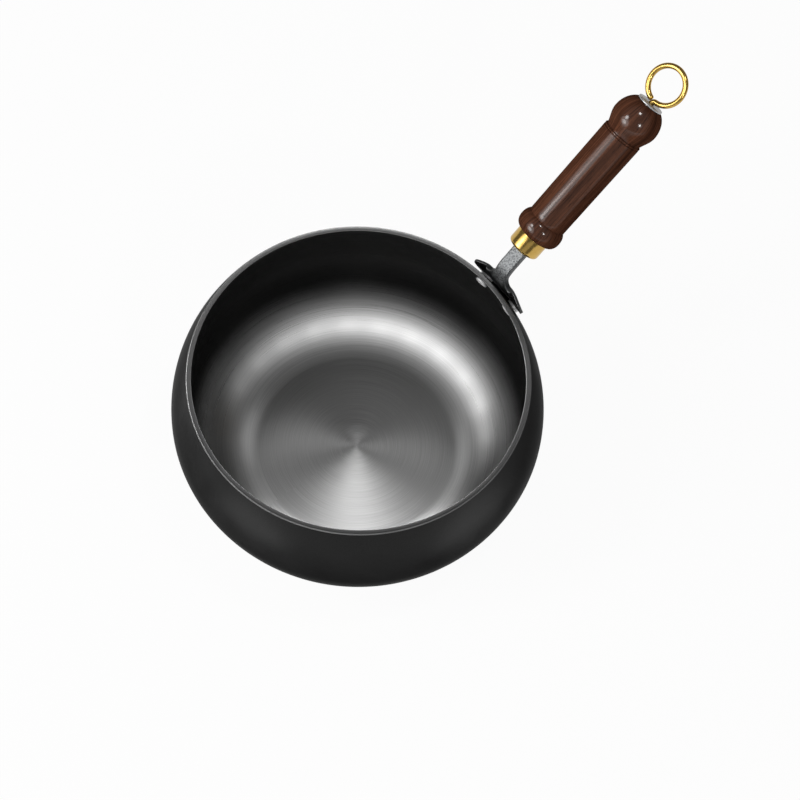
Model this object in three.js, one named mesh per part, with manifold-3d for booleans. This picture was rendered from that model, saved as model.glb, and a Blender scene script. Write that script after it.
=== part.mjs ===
// A round-bellied iron cooking pot with one turned wooden handle.
// Millimetres, +Z up. The origin is the centre of the flat underside and the handle points towards +X.

import * as THREE from 'three';
import { mergeVertices } from 'three/addons/utils/BufferGeometryUtils.js';
import Module from 'manifold-3d';

// Pot body
const rimRadius = 120;
const potHeight = 120;
const bellyRadius = 133.4;
const bellyHeight = 66.8;
const baseRadius = 72;
const wallThickness = 3.6;
const floorThickness = 4;
const rimChamfer = 0.5;
const upperWallPower = 2.05;
const lowerWallPower = 1.8;

// Rivets and the collars that hold the bracket off the wall
const rivetDrop = 18.5;
const rivetSpan = 30.6;
const rivetShankRadius = 2.5;
const rivetInnerHeadRadius = 5;
const rivetInnerHeadHeight = 2;
const rivetInnerHeadEdge = 0.8;
const rivetSunkHeadRadius = 4.2;
const rivetSunkHeadDepth = 1.5;
const collarRadius = 5.4;
const standOff = 2.3;

// Bracket: a curved wing plate, a neck that bends up from it, and a round tang
const wingThickness = 2.6;
const wingWidth = 54;
const wingBelowRivets = 12;
const wingTipHeight = 11;
const wingTipRadius = 3.5;
const wingTopAtNeck = 20.5;
const wingCurl = 2.4;
const wingCurlStart = 0.25;
const wingPress = 2.4;
const neckWidth = 11.8;
const neckThickness = 5.8;
const neckCorner = 1.4;
const neckBendRadius = 20;
const neckFlareRadius = 7.5;
const neckRootInset = 0.2;
const tangRadius = 2.8;
const tangLength = 72;

// Handle axis: where it meets the front of the ferrule, and its rise above level
const handleReach = 24.1;
const handleLift = 25.6;
const handleRise = 41;

// Brass ferrule
const ferruleRadius = 12.1;
const ferruleLength = 12.9;
const ferruleWall = 1;
const ferruleFrontWall = 1.6;
const ferruleRounding = 2.6;

// Wooden grip, lengths taken along the handle
const beadRadius = 17.3;
const beadLength = 14;
const beadLip = 0.6;
const beadGrooveDepth = 0.3;
const beadGrooveWidth = 0.5;
const barrelFrontRadius = 14.75;
const barrelTailRadius = 15.2;
const barrelLength = 80.9;
const shoulderChamfer = 0.4;
const knobNeckRadius = 14.1;
const knobRadius = 17.8;
const knobFlankLength = 12.4;
const knobTailLength = 14.8;
const knobEndRadius = 10.2;

// End washer and the brass screw eye
const washerRadius = 10;
const washerThickness = 1.2;
const washerChamfer = 0.25;
const eyeWireRadius = 1.95;
const eyeLoopRadius = 13.6;
const eyeLoopLift = 0.5;
const eyeShankLength = 24;
const eyeBendAngle = 9.5;
const eyeGapAngle = 8.5;

// Gaps between pieces that touch, and clearance round pins and tangs
const seatGap = 0.3;
const pinClearance = 0.3;

// Roundness of the turned pieces
const potSegments = 72;
const handleSegments = 36;
const smallSegments = 16;

const wasm = await Module();
wasm.setup();

// Turns a closed three.js geometry into a solid for joining and cutting.
function toSolid(geometry) {
  const bare = geometry.clone();
  bare.deleteAttribute('normal');
  bare.deleteAttribute('uv');
  const welded = mergeVertices(bare, 1e-4);
  const corners = welded.index.array;
  const kept = [];
  for (let i = 0; i < corners.length; i += 3) {
    const [a, b, c] = [corners[i], corners[i + 1], corners[i + 2]];
    if (a !== b && b !== c && c !== a) kept.push(a, b, c);
  }
  const vertProperties = new Float32Array(welded.attributes.position.array);
  const triVerts = new Uint32Array(kept);
  return new wasm.Manifold(new wasm.Mesh({ numProp: 3, vertProperties, triVerts }));
}

// Turns a solid back into a three.js geometry.
function toGeometry(solid) {
  const mesh = solid.getMesh();
  const geometry = new THREE.BufferGeometry();
  geometry.setAttribute('position', new THREE.BufferAttribute(new Float32Array(mesh.vertProperties), 3));
  geometry.setIndex(new THREE.BufferAttribute(new Uint32Array(mesh.triVerts), 1));
  geometry.computeVertexNormals();
  return geometry;
}

// Spins [radius, height] points about the Z axis.
function turned(points, segments) {
  const profile = points.map(([radius, height]) => new THREE.Vector2(radius, height));
  const geometry = new THREE.LatheGeometry(profile, segments);
  return geometry.rotateX(Math.PI / 2);
}

// An arc of an ellipse as [radius, height] points, angles in degrees from the radius direction.
function arcPoints(centreRadius, centreHeight, halfWidth, halfHeight, from, to, steps) {
  const points = [];
  for (let i = 0; i <= steps; i += 1) {
    const angle = THREE.MathUtils.degToRad(from + (to - from) * i / steps);
    points.push([centreRadius + halfWidth * Math.cos(angle), centreHeight + halfHeight * Math.sin(angle)]);
  }
  return points;
}

// A cubic Bezier curve as [radius, height] points.
function bezierPoints(start, pull1, pull2, end, steps) {
  const vectors = [start, pull1, pull2, end].map(([x, y]) => new THREE.Vector2(x, y));
  return new THREE.CubicBezierCurve(...vectors).getPoints(steps).map((point) => [point.x, point.y]);
}

// Outside radius of the wall between the belly and the rim.
function outerRadiusAt(height) {
  const share = (height - bellyHeight) / (potHeight - bellyHeight);
  return bellyRadius + (rimRadius - bellyRadius) * share ** upperWallPower;
}

// Wall curve from the edge of the flat floor to just below the rim, drawn in from the outside by inset.
function wallCurve(floorHeight, inset) {
  const points = [];
  const lowerSteps = 10;
  const upperSteps = 7;
  const widest = bellyRadius - inset;
  for (let i = 0; i <= lowerSteps; i += 1) {
    const angle = Math.PI / 2 * i / lowerSteps;
    const across = Math.sin(angle) ** (2 / lowerWallPower);
    const up = i === lowerSteps ? 1 : 1 - Math.cos(angle) ** (2 / lowerWallPower);
    const radius = baseRadius + (widest - baseRadius) * across;
    const height = floorHeight + (bellyHeight - floorHeight) * up;
    points.push([radius, height]);
  }
  for (let i = 1; i <= upperSteps; i += 1) {
    const height = bellyHeight + (potHeight - rimChamfer - bellyHeight) * i / upperSteps;
    points.push([outerRadiusAt(height) - inset, height]);
  }
  return points;
}

// Wall point, lean and normal where the rivets pass through
const rivetHeight = potHeight - rivetDrop;
const rivetWallRadius = outerRadiusAt(rivetHeight);
const upperWallSpan = potHeight - bellyHeight;
const rivetShare = (rivetHeight - bellyHeight) / upperWallSpan;
const wallDrawnIn = (bellyRadius - rimRadius) / upperWallSpan;
const wallSlope = wallDrawnIn * upperWallPower * rivetShare ** (upperWallPower - 1);
const wallLean = Math.atan(wallSlope);
const wallAtRivet = wallThickness * Math.cos(wallLean);
const wingMidOffset = standOff + wingThickness / 2;
const wingMidRadius = rivetWallRadius + wingMidOffset * Math.cos(wallLean);

// Frame at a rivet: the origin on the outside of the wall, local Z along the wall's outward normal.
function rivetFrame(side) {
  const frame = new THREE.Matrix4().makeRotationZ(side * rivetSpan / 2 / wingMidRadius);
  frame.multiply(new THREE.Matrix4().makeTranslation(rivetWallRadius, 0, rivetHeight));
  frame.multiply(new THREE.Matrix4().makeRotationY(Math.PI / 2 - wallLean));
  return frame;
}

// Hole along a rivet, long enough to pass through the wall and the wing plate.
function rivetHole(side) {
  const radius = rivetShankRadius + pinClearance;
  const reach = wallThickness + standOff + wingThickness;
  const hole = new THREE.CylinderGeometry(radius, radius, 4 * reach, smallSegments);
  hole.rotateX(Math.PI / 2);
  hole.applyMatrix4(rivetFrame(side));
  return toSolid(hole);
}

// Cone in the outside of the wing plate for the rivet's sunk head.
function rivetSink(side) {
  const wide = rivetSunkHeadRadius + pinClearance;
  const narrow = rivetShankRadius + pinClearance;
  const outside = standOff + wingThickness;
  const flare = (wide - narrow) / rivetSunkHeadDepth;
  const above = wingThickness;
  const length = rivetSunkHeadDepth + above;
  const cone = new THREE.CylinderGeometry(wide + flare * above, narrow, length, smallSegments);
  cone.rotateX(Math.PI / 2);
  cone.translate(0, 0, outside - rivetSunkHeadDepth + length / 2);
  cone.applyMatrix4(rivetFrame(side));
  return toSolid(cone);
}

// Pot body: one turned shell with two rivet holes.
function potBody() {
  const outside = wallCurve(0, 0);
  const inside = wallCurve(floorThickness, wallThickness).reverse();
  const innerRim = rimRadius - wallThickness;
  const rim = [[rimRadius - rimChamfer, potHeight], [innerRim + rimChamfer, potHeight]];
  const shell = turned([[0, 0], ...outside, ...rim, ...inside, [0, floorThickness]], potSegments);
  return toGeometry(toSolid(shell).subtract(rivetHole(1)).subtract(rivetHole(-1)));
}

// Rivet: low domed head inside the pot, shank, and the end hammered flush into the wing plate.
function rivet() {
  const innerSeat = -wallAtRivet - seatGap;
  const outside = standOff + wingThickness;
  const domeHeight = rivetInnerHeadHeight - rivetInnerHeadEdge;
  const dome = arcPoints(0, innerSeat - rivetInnerHeadEdge, rivetInnerHeadRadius, domeHeight, -90, 0, 5);
  dome[0][0] = 0;
  const profile = [
    ...dome,
    [rivetInnerHeadRadius, innerSeat],
    [rivetShankRadius, innerSeat],
    [rivetShankRadius, outside - rivetSunkHeadDepth],
    [rivetSunkHeadRadius, outside],
    [0, outside],
  ];
  return turned(profile, smallSegments);
}

// Collar on a rivet, between the wall and the wing plate.
function collar() {
  const bore = rivetShankRadius + pinClearance;
  const low = seatGap;
  const high = standOff - seatGap;
  const profile = [[bore, low], [collarRadius, low], [collarRadius, high], [bore, high], [bore, low]];
  return turned(profile, smallSegments);
}

// How far the plate stands out from a straight cone: its upper edge curls away from the wall beside the neck,
// and its lower edge is pressed in until it nearly touches the wall.
function wingBend(along, up) {
  const neckSide = neckWidth / 2;
  const beside = THREE.MathUtils.clamp((Math.abs(along) - neckSide) / (wingWidth / 2 - neckSide), 0, 1);
  const swell = Math.sin(Math.PI * THREE.MathUtils.lerp(wingCurlStart, 1, beside));
  const curl = wingCurl * swell * THREE.MathUtils.smoothstep(up, collarRadius, wingTopAtNeck);
  return curl - wingPress * THREE.MathUtils.smoothstep(-up, collarRadius, wingBelowRivets);
}

// Point of the wing plate: along runs round the wall, up follows its lean, out is from the plate's middle.
function wingPoint(along, up, out) {
  const bent = out + wingBend(along, up);
  const radius = wingMidRadius + bent * Math.cos(wallLean) - up * Math.sin(wallLean);
  const height = rivetHeight + (wingMidOffset + bent) * Math.sin(wallLean) + up * Math.cos(wallLean);
  const angle = along / wingMidRadius;
  return new THREE.Vector3(radius * Math.cos(angle), radius * Math.sin(angle), height);
}

// Lower and upper edge of the wing plate at a distance from its middle: a half-moon with sloping shoulders.
function wingEdges(along) {
  const half = wingWidth / 2;
  const away = Math.abs(along);
  const shoulder = neckWidth / 2 + neckFlareRadius;
  const fall = THREE.MathUtils.clamp((away - shoulder) / (half - shoulder), 0, 1);
  const tipTop = wingTipHeight + wingTipRadius;
  const top = tipTop + (wingTopAtNeck - tipTop) * (1 - fall);
  const intoTip = Math.max(0, away - (half - wingTipRadius));
  const rounding = wingTipRadius - Math.sqrt(wingTipRadius ** 2 - intoTip ** 2);
  const belly = Math.sqrt(1 - (away / half) ** 2);
  return [wingTipHeight - (wingTipHeight + wingBelowRivets) * belly, top - rounding];
}

// Wing plate: rings of points across its thickness, from tip to tip, joined into a closed slab.
function wingPlate() {
  const rings = [];
  const columns = 32;
  const rows = 8;
  const tipShare = 0.99;
  for (let i = 0; i <= columns; i += 1) {
    const along = -tipShare * wingWidth / 2 * Math.cos(Math.PI * i / columns);
    const [low, high] = wingEdges(along);
    const ring = [];
    for (let j = 0; j <= rows; j += 1) {
      ring.push(wingPoint(along, low + (high - low) * j / rows, -wingThickness / 2));
    }
    for (let j = rows; j >= 0; j -= 1) {
      ring.push(wingPoint(along, low + (high - low) * j / rows, wingThickness / 2));
    }
    rings.push(ring);
  }
  return skin(rings);
}

// Closed skin over rings of equal length, with flat fans on the first and last ring.
function skin(rings) {
  const count = rings[0].length;
  const positions = [];
  const triangles = [];
  for (const ring of rings) {
    for (const point of ring) positions.push(point.x, point.y, point.z);
  }
  for (let i = 0; i + 1 < rings.length; i += 1) {
    for (let j = 0; j < count; j += 1) {
      const next = (j + 1) % count;
      const [a, b] = [i * count + j, i * count + next];
      const [c, d] = [a + count, b + count];
      triangles.push(a, b, c, b, d, c);
    }
  }
  for (const [ring, first] of [[rings[0], 0], [rings[rings.length - 1], (rings.length - 1) * count]]) {
    const middle = positions.length / 3;
    const centre = ring.reduce((sum, point) => sum.add(point), new THREE.Vector3()).divideScalar(count);
    positions.push(centre.x, centre.y, centre.z);
    for (let j = 0; j < count; j += 1) {
      const [a, b] = [first + j, first + (j + 1) % count];
      if (first === 0) triangles.push(middle, b, a);
      else triangles.push(middle, a, b);
    }
  }
  const geometry = new THREE.BufferGeometry();
  geometry.setAttribute('position', new THREE.Float32BufferAttribute(positions, 3));
  geometry.setIndex(triangles);
  return geometry;
}

// Handle axis in the XZ plane
const rise = THREE.MathUtils.degToRad(handleRise);
const axisDirection = new THREE.Vector2(Math.cos(rise), Math.sin(rise));
const axisStart = new THREE.Vector2(rimRadius + handleReach, potHeight + handleLift);

// Where the plate's middle line, run upwards, meets the handle axis
const wingDirection = new THREE.Vector2(-Math.sin(wallLean), Math.cos(wallLean));
const wingFoot = new THREE.Vector2(wingMidRadius, rivetHeight + wingMidOffset * Math.sin(wallLean));
const apart = axisStart.clone().sub(wingFoot);
const footToCorner = apart.cross(axisDirection) / wingDirection.cross(axisDirection);
const neckCornerPoint = wingFoot.clone().addScaledVector(wingDirection, footToCorner);
const bendTurn = Math.PI / 2 + wallLean - rise;
const bendTangent = neckBendRadius * Math.tan(bendTurn / 2);
const bendStart = neckCornerPoint.clone().addScaledVector(wingDirection, -bendTangent);
const wingOutward = new THREE.Vector2(wingDirection.y, -wingDirection.x);
const bendCentre = bendStart.clone().addScaledVector(wingOutward, neckBendRadius);
const bendEnd = neckCornerPoint.clone().addScaledVector(axisDirection, bendTangent);

// Outline of the neck at one place: a rectangle with rounded corners, square to the neck's direction.
function neckRing(centre, along, width, thickness) {
  const corner = Math.min(neckCorner, 0.45 * thickness);
  const ring = [];
  for (const [quarter, sideY, sideN] of [[0, 1, 1], [1, -1, 1], [2, -1, -1], [3, 1, -1]]) {
    for (let i = 0; i <= 3; i += 1) {
      const angle = Math.PI / 2 * (quarter + i / 3);
      const y = sideY * (width / 2 - corner) + corner * Math.cos(angle);
      const n = sideN * (thickness / 2 - corner) + corner * Math.sin(angle);
      ring.push(new THREE.Vector3(centre.x - along.y * n, y, centre.y + along.x * n));
    }
  }
  return ring;
}

// Neck: starts inside the wing plate, flares out of its top edge, bends over the rim and meets the ferrule.
function neck() {
  const rings = [];
  const bendLength = neckBendRadius * bendTurn;
  const plateTop = wingTopAtNeck - footToCorner + bendTangent;
  const stop = axisStart.clone().addScaledVector(axisDirection, -seatGap);
  const straight = stop.distanceTo(bendEnd);
  const thicknessAt = (distance) => {
    const share = THREE.MathUtils.smoothstep(distance, -neckFlareRadius, bendLength);
    return THREE.MathUtils.lerp(wingThickness - neckRootInset, neckThickness, share);
  };
  const widthAt = (distance) => {
    const rest = THREE.MathUtils.clamp(neckFlareRadius - (distance - plateTop), 0, neckFlareRadius);
    return neckWidth + 2 * (neckFlareRadius - Math.sqrt(neckFlareRadius ** 2 - rest ** 2));
  };
  const rootSteps = 3;
  const bendSteps = 14;
  const straightSteps = 4;
  const root = footToCorner - bendTangent;
  for (let i = 0; i < rootSteps; i += 1) {
    const distance = -root * (1 - i / rootSteps);
    const centre = bendStart.clone().addScaledVector(wingDirection, distance);
    rings.push(neckRing(centre, wingDirection, widthAt(distance), thicknessAt(distance)));
  }
  for (let i = 0; i <= bendSteps; i += 1) {
    const angle = bendTurn * i / bendSteps;
    const distance = bendLength * i / bendSteps;
    const along = wingDirection.clone().rotateAround(new THREE.Vector2(), -angle);
    const centre = bendStart.clone().rotateAround(bendCentre, -angle);
    rings.push(neckRing(centre, along, widthAt(distance), thicknessAt(distance)));
  }
  for (let i = 1; i <= straightSteps; i += 1) {
    const centre = bendEnd.clone().addScaledVector(axisDirection, straight * i / straightSteps);
    rings.push(neckRing(centre, axisDirection, neckWidth, neckThickness));
  }
  return skin(rings);
}

// Bracket: wing plate, neck and tang joined into one forging, with two rivet holes.
function handleBracket() {
  const insideNeck = neckThickness;
  const tang = new THREE.CylinderGeometry(tangRadius, tangRadius, tangLength + insideNeck, smallSegments);
  tang.rotateX(Math.PI / 2);
  tang.translate(0, 0, (tangLength - insideNeck) / 2);
  tang.applyMatrix4(handleFrame());
  let forging = toSolid(wingPlate()).add(toSolid(neck())).add(toSolid(tang));
  for (const side of [1, -1]) {
    forging = forging.subtract(rivetHole(side)).subtract(rivetSink(side));
  }
  return toGeometry(forging);
}

// Frame of the handle: the origin at the front of the ferrule, local Z along the handle.
function handleFrame() {
  const frame = new THREE.Matrix4().makeTranslation(axisStart.x, 0, axisStart.y);
  return frame.multiply(new THREE.Matrix4().makeRotationY(Math.PI / 2 - rise));
}

// Lengths along the handle
const beadStart = ferruleLength + seatGap;
const barrelStart = beadStart + beadLength;
const barrelEnd = barrelStart + barrelLength;
const knobWidest = barrelEnd + knobFlankLength;
const gripEnd = knobWidest + knobTailLength;
const washerStart = gripEnd + seatGap;
const washerEnd = washerStart + washerThickness;
const eyeCentre = washerEnd + eyeLoopLift + eyeWireRadius + eyeLoopRadius;
const eyeTip = gripEnd - eyeShankLength;

// Ferrule: a cup with a rounded front edge and a hole for the tang.
function brassFerrule() {
  const hole = tangRadius + pinClearance;
  const edge = ferruleRounding;
  const rounded = arcPoints(ferruleRadius - edge, edge, edge, edge, -90, 0, 6);
  const profile = [
    [hole, 0],
    ...rounded,
    [ferruleRadius, ferruleLength],
    [ferruleRadius - ferruleWall, ferruleLength],
    [ferruleRadius - ferruleWall, ferruleFrontWall],
    [hole, ferruleFrontWall],
    [hole, 0],
  ];
  return turned(profile, handleSegments);
}

// Grip: tenon inside the ferrule, front bead, barrel, square shoulder and tail knob, bored for tang and eye.
function woodenGrip() {
  const tangBore = tangRadius + pinClearance;
  const eyeBore = eyeWireRadius + pinClearance;
  const tenonStart = ferruleFrontWall + seatGap;
  const tenonRadius = ferruleRadius - ferruleWall - seatGap;
  const lerp = THREE.MathUtils.lerp;
  const beadMiddle = lerp(beadStart, barrelStart, 0.48);
  const beadFoot = ferruleRadius + beadLip;
  const grooveRadius = barrelFrontRadius - beadGrooveDepth;
  const beadFront = bezierPoints(
    [beadFoot, beadStart],
    [lerp(beadFoot, beadRadius, 0.6), beadStart],
    [beadRadius, lerp(beadMiddle, beadStart, 0.54)],
    [beadRadius, beadMiddle],
    8,
  );
  const beadBack = bezierPoints(
    [beadRadius, beadMiddle],
    [beadRadius, lerp(beadMiddle, barrelStart, 0.58)],
    [lerp(grooveRadius, beadRadius, 0.46), lerp(beadMiddle, barrelStart, 0.86)],
    [grooveRadius, barrelStart],
    8,
  );
  const knobFlank = bezierPoints(
    [knobNeckRadius, barrelEnd + shoulderChamfer],
    [lerp(knobNeckRadius, knobRadius, 0.38), lerp(barrelEnd, knobWidest, 0.4)],
    [knobRadius, lerp(barrelEnd, knobWidest, 0.64)],
    [knobRadius, knobWidest],
    7,
  );
  const knobTail = bezierPoints(
    [knobRadius, knobWidest],
    [knobRadius, lerp(knobWidest, gripEnd, 0.5)],
    [lerp(knobEndRadius, knobRadius, 0.5), lerp(knobWidest, gripEnd, 0.86)],
    [knobEndRadius, gripEnd],
    8,
  );
  const profile = [
    [0, tangLength + seatGap],
    [tangBore, tangLength + seatGap],
    [tangBore, tenonStart],
    [tenonRadius, tenonStart],
    [tenonRadius, beadStart],
    ...beadFront,
    ...beadBack.slice(1),
    [barrelFrontRadius, barrelStart + beadGrooveWidth],
    [barrelTailRadius, barrelEnd - shoulderChamfer],
    [barrelTailRadius - shoulderChamfer, barrelEnd],
    [knobNeckRadius, barrelEnd],
    ...knobFlank,
    ...knobTail.slice(1),
    [eyeBore, gripEnd],
    [eyeBore, eyeTip - seatGap],
    [0, eyeTip - seatGap],
  ];
  return turned(profile, handleSegments);
}

// Washer under the screw eye, with its edges broken.
function endWasher() {
  const hole = eyeWireRadius + 2 * pinClearance;
  const profile = [
    [hole, washerStart],
    [washerRadius - washerChamfer, washerStart],
    [washerRadius, washerStart + washerChamfer],
    [washerRadius, washerEnd - washerChamfer],
    [washerRadius - washerChamfer, washerEnd],
    [hole, washerEnd],
    [hole, washerStart],
  ];
  return turned(profile, handleSegments);
}

// Round loop of the screw eye in the local YZ plane, measured from its lowest point.
class EyeLoop extends THREE.Curve {
  getPoint(share, target = new THREE.Vector3()) {
    const angle = THREE.MathUtils.degToRad(THREE.MathUtils.lerp(eyeBendAngle, 360 - eyeGapAngle, share));
    return target.set(0, -eyeLoopRadius * Math.sin(angle), eyeCentre - eyeLoopRadius * Math.cos(angle));
  }
}

// Screw eye: a straight shank, a tight bend and an open loop whose free end stops beside the shank.
function screwEye() {
  const bend = THREE.MathUtils.degToRad(eyeBendAngle);
  const elbow = new THREE.Vector3(0, 0, eyeCentre - eyeLoopRadius / Math.cos(bend));
  const reach = eyeLoopRadius * Math.tan(bend);
  const loop = new EyeLoop();
  const shankEnd = new THREE.Vector3(0, 0, elbow.z - reach);
  const path = new THREE.CurvePath();
  path.add(new THREE.LineCurve3(new THREE.Vector3(0, 0, eyeTip), shankEnd));
  path.add(new THREE.QuadraticBezierCurve3(shankEnd, elbow, loop.getPoint(0)));
  path.add(loop);
  const wire = new THREE.Shape().absarc(0, 0, eyeWireRadius, 0, 2 * Math.PI);
  const options = { steps: 80, curveSegments: 6, extrudePath: path, bevelEnabled: false };
  return new THREE.ExtrudeGeometry(wire, options);
}

const blackIron = new THREE.MeshStandardMaterial({ color: 0x2b2b2c, roughness: 0.5, metalness: 0.8 });
const greySteel = new THREE.MeshStandardMaterial({ color: 0x8f9294, roughness: 0.6, metalness: 0.8 });
const paleSteel = new THREE.MeshStandardMaterial({ color: 0xc4c5c6, roughness: 0.35, metalness: 1 });
const brass = new THREE.MeshStandardMaterial({ color: 0xc79f45, roughness: 0.2, metalness: 1 });
const darkWood = new THREE.MeshStandardMaterial({ color: 0x55372b, roughness: 0.35, metalness: 0 });

const pot = new THREE.Group();
const handle = new THREE.Group();
handle.applyMatrix4(handleFrame());
pot.add(handle);

function place(parent, name, geometry, material) {
  const mesh = new THREE.Mesh(geometry, material);
  mesh.name = name;
  parent.add(mesh);
  return mesh;
}

place(pot, 'pot_body', potBody(), blackIron);
place(pot, 'handle_bracket', handleBracket(), greySteel);
for (const [side, label] of [[1, 'left'], [-1, 'right']]) {
  place(pot, `rivet_${label}`, rivet(), paleSteel).applyMatrix4(rivetFrame(side));
  place(pot, `rivet_collar_${label}`, collar(), paleSteel).applyMatrix4(rivetFrame(side));
}
place(handle, 'brass_ferrule', brassFerrule(), brass);
place(handle, 'wooden_grip', woodenGrip(), darkWood);
place(handle, 'end_washer', endWasher(), paleSteel);
place(handle, 'screw_eye', screwEye(), brass);

export default pot;
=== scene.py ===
# %% [markdown]
# # An iron cooking pot with a turned wooden handle
# A heavy black iron pot with a round belly, a flat-cut rim, and a wooden handle on a riveted bracket. Ten
# pieces are dressed here. Each one stands in for a plain solid of the same size and place, so the shapes
# repeat that solid's sizes, with more steps round the turning and with the small marks of the making.

# %% Load the plain solids
import math

import bmesh
import bpy
from mathutils import Matrix, Vector


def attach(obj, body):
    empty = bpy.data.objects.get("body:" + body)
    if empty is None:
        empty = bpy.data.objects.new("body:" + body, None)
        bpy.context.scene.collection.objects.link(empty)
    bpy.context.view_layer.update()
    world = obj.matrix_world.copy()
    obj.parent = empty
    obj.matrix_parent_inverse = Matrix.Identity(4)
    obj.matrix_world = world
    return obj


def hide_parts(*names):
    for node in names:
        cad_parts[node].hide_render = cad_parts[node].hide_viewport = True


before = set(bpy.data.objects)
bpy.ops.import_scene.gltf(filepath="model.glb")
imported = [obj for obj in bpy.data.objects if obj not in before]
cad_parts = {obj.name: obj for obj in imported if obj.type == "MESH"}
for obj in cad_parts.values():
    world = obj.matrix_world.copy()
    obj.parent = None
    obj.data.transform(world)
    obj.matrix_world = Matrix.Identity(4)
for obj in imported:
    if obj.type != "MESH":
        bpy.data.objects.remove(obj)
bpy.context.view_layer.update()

# %% [markdown]
# ## The camera
# The pot was seen from well above, from the side away from the handle, with a long lens. A Track To
# constraint could aim the camera, but it would keep the image upright. Three written directions leave
# room for a slight tilt: a camera looks along its own minus Z, with X to the right of the image and Y up,
# and turning X and Y about the line of sight by a few degrees tilts the picture.

# %% Camera
camera_place = Vector((-0.40263, -0.49155, 1.36980))
camera_right = Vector((0.743145, -0.669131, 0.0))
camera_forward = Vector((0.29647, 0.32927, -0.89649)).normalized()
camera_up = camera_right.cross(camera_forward)
camera_roll = math.radians(4.58)
lens_length = 90.72
sensor_width = 36.0

rolled_right = math.cos(camera_roll) * camera_right + math.sin(camera_roll) * camera_up
rolled_up = math.cos(camera_roll) * camera_up - math.sin(camera_roll) * camera_right
camera_data = bpy.data.cameras.new("studio_camera")
camera_data.lens = lens_length
camera_data.sensor_width = sensor_width
camera = bpy.data.objects.new("studio_camera", camera_data)
bpy.context.collection.objects.link(camera)
turn = Matrix((rolled_right, rolled_up, -camera_forward)).transposed()
camera.matrix_world = Matrix.Translation(camera_place) @ turn.to_4x4()
bpy.context.scene.camera = camera
print("camera looks along", [round(value, 3) for value in camera_forward])

# %% [markdown]
# ## One node at a time
# A material is a small graph of nodes. It could be drawn by hand in the editor. In code, a helper that
# adds one node, and either sets or links each of its inputs, lets the cells below read like a recipe.
# Every pattern uses the object's own coordinates, in metres, so that a scratch keeps its real size on
# every piece.

# %% Helpers: a node, a sum, a range, a mix and a noise
def node(tree, kind, inputs=None, **settings):
    """Adds a node. An input is either a plain value or the output socket of another node."""
    made = tree.nodes.new(kind)
    for name, value in settings.items():
        setattr(made, name, value)
    for socket, value in (inputs or {}).items():
        if isinstance(value, bpy.types.NodeSocket):
            tree.links.new(value, made.inputs[socket])
        else:
            made.inputs[socket].default_value = value
    return made


def calculate(tree, operation, first, second=0.0):
    """One step of arithmetic on values that change over the surface."""
    return node(tree, "ShaderNodeMath", {0: first, 1: second}, operation=operation).outputs[0]


def remap(tree, value, low, high, to_low, to_high):
    """Stretches a value from one range to another and stops at the ends."""
    ranges = {"Value": value, "From Min": low, "From Max": high, "To Min": to_low, "To Max": to_high}
    return node(tree, "ShaderNodeMapRange", ranges).outputs[0]


def mix_colours(tree, share, first, second):
    """Sockets 6 and 7 of the mix node are its two colours, and output 2 is the colour that comes out."""
    return node(tree, "ShaderNodeMix", {0: share, 6: first, 7: second}, data_type="RGBA").outputs[2]


def noise(tree, vector, scale, detail=3.0, roughness=0.5):
    """A cloudy value from 0 to 1. The scale says how many clouds fit in one unit of the coordinates."""
    inputs = {"Vector": vector, "Scale": scale, "Detail": detail, "Roughness": roughness}
    return node(tree, "ShaderNodeTexNoise", inputs).outputs["Fac"]


print("helpers for nodes: node, calculate, remap, mix_colours, noise")

# %% [markdown]
# ## Turning marks
# A lathe tool leaves fine rings round the axis. They could be modelled, but they are a few hundredths of
# a millimetre deep, so they are drawn as noise that changes quickly with radius and height and slowly
# round the turn. The pot, the rivets and the ferrule share this effect, so it is a node group: a small
# graph with named inputs and outputs that is built once and placed in each material with its own spacing.

# %% Helper: an empty node group
def new_group(name, inputs, outputs):
    """An empty node group with named sockets, returned with its two end nodes."""
    tree = bpy.data.node_groups.new(name, "ShaderNodeTree")
    for label, kind in inputs:
        tree.interface.new_socket(label, in_out="INPUT", socket_type=kind)
    for label, kind in outputs:
        tree.interface.new_socket(label, in_out="OUTPUT", socket_type=kind)
    return tree, tree.nodes.new("NodeGroupInput").outputs, tree.nodes.new("NodeGroupOutput").inputs


print("helper for node groups: new_group")

# %% Node group: turning marks
turning_marks, given, result = new_group(
    "turning_marks",
    [("Vector", "NodeSocketVector"), ("Spacing", "NodeSocketFloat")],
    [("Marks", "NodeSocketFloat")],
)
change_round_the_turn = 0.8
parts = node(turning_marks, "ShaderNodeSeparateXYZ", {0: given["Vector"]}).outputs
square_x = calculate(turning_marks, "MULTIPLY", parts["X"], parts["X"])
square_y = calculate(turning_marks, "MULTIPLY", parts["Y"], parts["Y"])
radius = calculate(turning_marks, "SQRT", calculate(turning_marks, "ADD", square_x, square_y))
angle = calculate(turning_marks, "ARCTAN2", parts["Y"], parts["X"])
arc_share = calculate(turning_marks, "MULTIPLY", angle, change_round_the_turn)
across = calculate(turning_marks, "DIVIDE", radius, given["Spacing"])
along = calculate(turning_marks, "DIVIDE", parts["Z"], given["Spacing"])
ring_place = node(turning_marks, "ShaderNodeCombineXYZ", {0: across, 1: along, 2: arc_share}).outputs[0]
turning_marks.links.new(noise(turning_marks, ring_place, 1.0, 4.0, 0.65), result["Marks"])
print("group", turning_marks.name, "with", len(turning_marks.nodes), "nodes")

# %% [markdown]
# ## The skin of cast and forged metal
# Hot metal keeps a fine grainy skin, with broad patches where it was handled or oiled. An image of a real
# skin could be wrapped round the pieces, but noise keeps its true size everywhere and never repeats. Two
# noises of very different size give the grain and the patches, as one group that the iron, the bracket,
# the small steel pieces and the brass share.

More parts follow.
